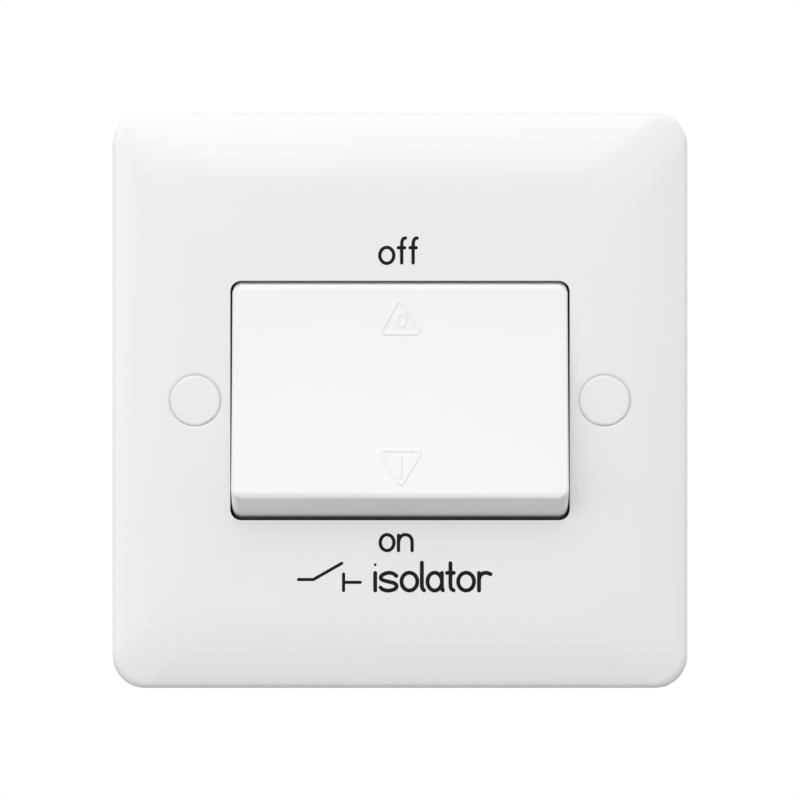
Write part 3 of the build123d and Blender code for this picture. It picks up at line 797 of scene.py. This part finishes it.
class ISOLATOR_PG_finishes(PropertyGroup):
    """Colours and gloss of the mouldings and metals."""

    plate_colour: FloatVectorProperty(
        name="Plate", description="White of the plate and its caps", subtype="COLOR", default=(0.808, 0.813, 0.811)
    )
    rocker_colour: FloatVectorProperty(
        name="Rocker", description="White of the rocker", subtype="COLOR", default=(0.808, 0.813, 0.813)
    )
    gloss: FloatProperty(
        name="Roughness", description="Roughness of the white mouldings", subtype="FACTOR", default=0.22
    )
    base_colour: FloatVectorProperty(
        name="Base", description="Resin of the switch base", subtype="COLOR", default=(0.040, 0.034, 0.030)
    )
    plunger_colour: FloatVectorProperty(
        name="Plungers", description="Bearing plastic of the plungers", subtype="COLOR", default=(0.74, 0.69, 0.56)
    )
    brass_colour: FloatVectorProperty(
        name="Brass", description="Terminals and contacts", subtype="COLOR", default=(0.78, 0.57, 0.25)
    )
    steel_colour: FloatVectorProperty(
        name="Plated steel", description="Screws", subtype="COLOR", default=(0.66, 0.67, 0.67)
    )
    silver_colour: FloatVectorProperty(
        name="Silver", description="Contact tips", subtype="COLOR", default=(0.83, 0.82, 0.79)
    )
    spring_colour: FloatVectorProperty(
        name="Spring steel", description="Coil springs", subtype="COLOR", default=(0.46, 0.46, 0.47)
    )
    edge_limit: FloatProperty(
        name="Rounded below", description="Edges flatter than this are shaded round", subtype="ANGLE", default=0.87
    )


class ISOLATOR_PG_print(PropertyGroup):
    """The printed words and sign."""

    ink_colour: FloatVectorProperty(
        name="Ink", description="Colour of the print", subtype="COLOR", default=(0.006, 0.007, 0.008)
    )
    pen_width: FloatProperty(
        name="Pen width", description="Width of the words' strokes", unit="LENGTH", default=0.5 * MM
    )
    sign_width: FloatProperty(
        name="Sign width", description="Width of the sign's strokes", unit="LENGTH", default=0.46 * MM
    )
    ink_height: FloatProperty(
        name="Ink height", description="How far the ink stands up", unit="LENGTH", default=0.03 * MM
    )


class ISOLATOR_PG_marks(PropertyGroup):
    """The raised marks on the rocker."""

    rib_width: FloatProperty(
        name="Rib width", description="Width of a raised line", unit="LENGTH", default=0.62 * MM
    )
    rib_height: FloatProperty(
        name="Rib height", description="How far a raised line stands up", unit="LENGTH", default=0.085 * MM
    )
    corner_r: FloatProperty(
        name="Corner radius", description="Round corners of the triangles", unit="LENGTH", default=0.45 * MM
    )


class ISOLATOR_PG_hardware(PropertyGroup):
    """Screw threads and springs."""

    thread_pitch: FloatProperty(
        name="Thread pitch", description="Pitch of the fixing screws", unit="LENGTH", default=0.6 * MM
    )
    thread_depth: FloatProperty(
        name="Thread depth", description="From crest to root", unit="LENGTH", default=0.36 * MM
    )
    spring_turns: IntProperty(name="Spring turns", description="Turns of a plunger spring", default=7, min=3)
    spring_wire: FloatProperty(
        name="Spring wire", description="Diameter of the spring wire", unit="LENGTH", default=0.38 * MM
    )


class ISOLATOR_PG_stage(PropertyGroup):
    """Camera, lamps and floor."""

    camera_distance: FloatProperty(
        name="Camera distance", description="From the camera to the wall plane", unit="LENGTH", default=0.55
    )
    camera_height: FloatProperty(
        name="Camera height", description="Above the plate's middle", unit="LENGTH", default=0.07 * MM
    )
    view_width: FloatProperty(
        name="View width", description="Width of the picture at the plate's front", unit="LENGTH", default=0.11782
    )
    room_light: FloatProperty(name="Room light", description="Even light from all round", default=0.94)
    key_light: FloatProperty(name="Key light", description="Wide soft lamp above", unit="POWER", default=8.1)
    side_light: FloatProperty(name="Side light", description="Soft lamp at the left", unit="POWER", default=2.3)
    floor_depth: FloatProperty(
        name="Floor depth", description="From the plate's middle down to the floor", unit="LENGTH", default=0.45
    )
    floor_radius: FloatProperty(
        name="Floor radius", description="Radius of the round floor", unit="LENGTH", default=2.0
    )


class ISOLATOR_OT_finish_parts(Operator):
    """Give every CAD node the finish of its slot and shade its small bevels as rounded edges"""

    bl_idname = "isolator.finish_parts"
    bl_label = "Finish the parts"

    def execute(self, context):
        look = context.scene.isolator_finishes
        finishes = {
            "white_plate": white_moulding("plate_white", look.plate_colour, look.gloss, cap_joints),
            "white_rocker": white_moulding("rocker_white", look.rocker_colour, look.gloss, rocker_skirt_shade),
            "dark_base": filled_moulding("dark_filled_moulding", look.base_colour, BASE_GRAINS),
            "brass": worked_metal("worked_brass", look.brass_colour, BRASS_STAIN, 0.27, way=(1, 1, 0.06)),
            "plated_steel": worked_metal("zinc_plate", look.steel_colour, ZINC_STAIN, 0.30, way=(1, 0.06, 1)),
            "silver_contact": worked_metal("contact_silver", look.silver_colour, SILVER_STAIN, 0.33, way=(1, 1, 0.1)),
            "pale_plunger": smooth_moulding("bearing_plastic", look.plunger_colour),
            "spring_steel": worked_metal("spring_wire", look.spring_colour, SPRING_STAIN, 0.28, way=(0.2, 0.2, 0.2)),
        }
        group = soft_edges(look.edge_limit)
        for name, node in frame["nodes"].items():
            node.material_slots[0].material = finishes[slot_of[name]]
            soften(node, group)
        return {"FINISHED"}


class ISOLATOR_OT_cut_threads(Operator):
    """Stand threaded fixing screws in for the plain ones: the CAD heads and necks with a wound thread below"""

    bl_idname = "isolator.cut_threads"
    bl_label = "Cut the screw threads"

    def execute(self, context):
        sizes = context.scene.isolator_hardware
        plain = frame["nodes"]["fixing_screws"]
        mesh, shank_top = shankless_heads(plain)
        screw_heads = new_piece("fixing_screw_heads", mesh, None, "plate_and_base")
        soften(screw_heads, plain.modifiers["soft_edges"].node_group)
        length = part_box("fixing_screws")[1].y - shank_top
        skins = thread_skins(shank_top, length, sizes.thread_pitch, sizes.thread_depth)
        mesh = closed_mesh("fixing_screw_threads", skins, THREAD_CREASE)
        threads = new_piece("fixing_screw_threads", mesh, plain.material_slots[0].material, "plate_and_base")
        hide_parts("fixing_screws")
        return {"FINISHED"}


class ISOLATOR_OT_wind_springs(Operator):
    """Wind round-wire plunger springs with closed ends in place of the plain coils"""

    bl_idname = "isolator.wind_springs"
    bl_label = "Wind the springs"

    def execute(self, context):
        sizes = context.scene.isolator_hardware
        wire = sizes.spring_wire
        turns = sizes.spring_turns
        closed = 2 * CLOSED_TURNS
        for pole in ("left", "middle", "right"):
            plain = frame["nodes"][f"plunger_spring_{pole}"]
            slide = joints[f"plunger_{pole}_slide"]
            axis = np.array(slide["axis"])
            axis /= np.linalg.norm(axis)
            points = np.empty(3 * len(plain.data.vertices))
            plain.data.vertices.foreach_get("co", points)
            points = points.reshape(-1, 3)
            along = points @ axis
            across = points - along[:, None] * axis
            middle = (across.min(axis=0) + across.max(axis=0)) / 2
            outer = np.linalg.norm(across - middle, axis=1).max()
            length = along.max() - along.min()
            share = np.linspace(0, 1, turns * SPRING_POINTS + 1)
            gap = np.clip((share - CLOSED_TURNS / turns) / (1 - closed / turns), 0, 1)
            lift = wire / 2 + closed * wire * share + gap * (length - (closed + 1) * wire)
            turn = np.linspace(0, 2 * np.pi, WIRE_POINTS, endpoint=False)
            section = (np.cos(turn) * wire / 2, np.sin(turn) * wire / 2)
            full = np.clip(np.minimum(share, 1 - share) / WIRE_END_SHARE, 0, 1)
            start = middle + along.min() * axis
            coil = wound(start, axis, turns, lift, outer - wire / 2, section, full)
            mesh = closed_mesh(f"wound_spring_{pole}", [coil], WIRE_CREASE)
            spring = new_piece(f"wound_spring_{pole}", mesh, plain.material_slots[0].material, "rocker")
            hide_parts(f"plunger_spring_{pole}")
            stroke = slide["range_m"][1]
            anchor = middle + along.max() * axis
            (length - stroke) / length
            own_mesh(spring)
        return {"FINISHED"}


class ISOLATOR_OT_print_words(Operator):
    """Print off above the rocker, and on and isolator below it"""

    bl_idname = "isolator.print_words"
    bl_label = "Print the words"

    def execute(self, context):
        pen = context.scene.isolator_print
        ink = printed_ink("black_ink", pen.ink_colour)
        width = pen.pen_width / MM
        height = pen.ink_height / MM
        words = {"print_off": PRINT_OFF, "print_on": PRINT_ON, "print_isolator": PRINT_ISOLATOR}
        for name, print_of in words.items():
            weight = print_of["weight"] * width
            strokes = printed_strokes(print_of["rings"], print_of["lines"], weight, height)
            if name == "print_isolator":
                strokes += printed_strokes([], [DOT_OF_THE_I], DOT_WEIGHT * width, height)
            mesh = closed_mesh(name, laid(strokes, on_plate), PRINT_CREASE)
            new_piece(name, mesh, ink, "plate_and_base")
        return {"FINISHED"}


class ISOLATOR_OT_print_sign(Operator):
    """Print the wiring sign of an isolating switch beside the word"""

    bl_idname = "isolator.print_sign"
    bl_label = "Print the sign"

    def execute(self, context):
        pen = context.scene.isolator_print
        strokes = printed_strokes([], SIGN_LINES, pen.sign_width / MM, pen.ink_height / MM)
        mesh = closed_mesh("print_isolator_sign", laid(strokes, on_plate), PRINT_CREASE)
        new_piece("print_isolator_sign", mesh, bpy.data.materials["black_ink"], "plate_and_base")
        return {"FINISHED"}


class ISOLATOR_OT_raise_marks(Operator):
    """Raise the two pointing triangles, the 0 and the 1 on the rocker's face"""

    bl_idname = "isolator.raise_marks"
    bl_label = "Raise the rocker's marks"

    def execute(self, context):
        sizes = context.scene.isolator_marks
        section = rib_section(sizes.rib_width / MM, sizes.rib_height / MM)
        corner = sizes.corner_r / MM
        off = [
            closed_stroke(rounded_line(OFF_TRIANGLE, corner), *section),
            closed_stroke(ring_line(*OFF_RING), *section),
        ]
        on = [
            closed_stroke(rounded_line(ON_TRIANGLE, corner), *section),
            open_stroke(smooth_line(ON_BAR), *section),
        ]
        white = bpy.data.materials["rocker_white"]
        for name, strokes in {"mark_off": off, "mark_on": on}.items():
            mesh = closed_mesh(name, laid(strokes, on_rocker), RIB_CREASE)
            mark = new_piece(name, mesh, white, "rocker")
        return {"FINISHED"}


class ISOLATOR_OT_set_stage(Operator):
    """Set up the camera in front of the plate, two soft lamps, a white surround and a pale floor"""

    bl_idname = "isolator.set_stage"
    bl_label = "Set the stage"

    def execute(self, context):
        stage = context.scene.isolator_stage
        scene = context.scene
        scene.view_settings.view_transform = "Standard"
        front_camera(scene, stage)
        soft_lamp("key_lamp", power=stage.key_light, **KEY_LAMP)
        soft_lamp("side_lamp", power=stage.side_light, **SIDE_LAMP)
        white_surround(scene, stage.room_light)
        floor = pale_floor(scene, stage)
        return {"FINISHED"}


class ISOLATOR_PT_panel(Panel):
    """The switch's sizes and colours, and a button for each step"""

    bl_idname = "ISOLATOR_PT_panel"
    bl_label = "Fan isolator switch"
    bl_space_type = "VIEW_3D"
    bl_region_type = "UI"
    bl_category = "Isolator"

    def draw(self, context):
        for name in GROUPS:
            box = self.layout.box()
            group = getattr(context.scene, name)
            for field in group.__annotations__:
                box.prop(group, field)
        for step in STEPS:
            self.layout.operator(step.bl_idname)


GROUPS = {
    "isolator_finishes": ISOLATOR_PG_finishes,
    "isolator_print": ISOLATOR_PG_print,
    "isolator_marks": ISOLATOR_PG_marks,
    "isolator_hardware": ISOLATOR_PG_hardware,
    "isolator_stage": ISOLATOR_PG_stage,
}
STEPS = (
    ISOLATOR_OT_finish_parts,
    ISOLATOR_OT_cut_threads,
    ISOLATOR_OT_wind_springs,
    ISOLATOR_OT_print_words,
    ISOLATOR_OT_print_sign,
    ISOLATOR_OT_raise_marks,
    ISOLATOR_OT_set_stage,
)


def register():
    for group in GROUPS.values():
        bpy.utils.register_class(group)
    for name, group in GROUPS.items():
        setattr(bpy.types.Scene, name, PointerProperty(type=group))
    for step in STEPS:
        bpy.utils.register_class(step)
    bpy.utils.register_class(ISOLATOR_PT_panel)


def unregister():
    bpy.utils.unregister_class(ISOLATOR_PT_panel)
    for step in reversed(STEPS):
        bpy.utils.unregister_class(step)
    for name, group in GROUPS.items():
        delattr(bpy.types.Scene, name)
        bpy.utils.unregister_class(group)


def main():
    register()
    bpy.ops.isolator.finish_parts()
    bpy.ops.isolator.cut_threads()
    bpy.ops.isolator.wind_springs()
    bpy.ops.isolator.print_words()
    bpy.ops.isolator.print_sign()
    bpy.ops.isolator.raise_marks()
    bpy.ops.isolator.set_stage()


if __name__ == "__main__":
    main()
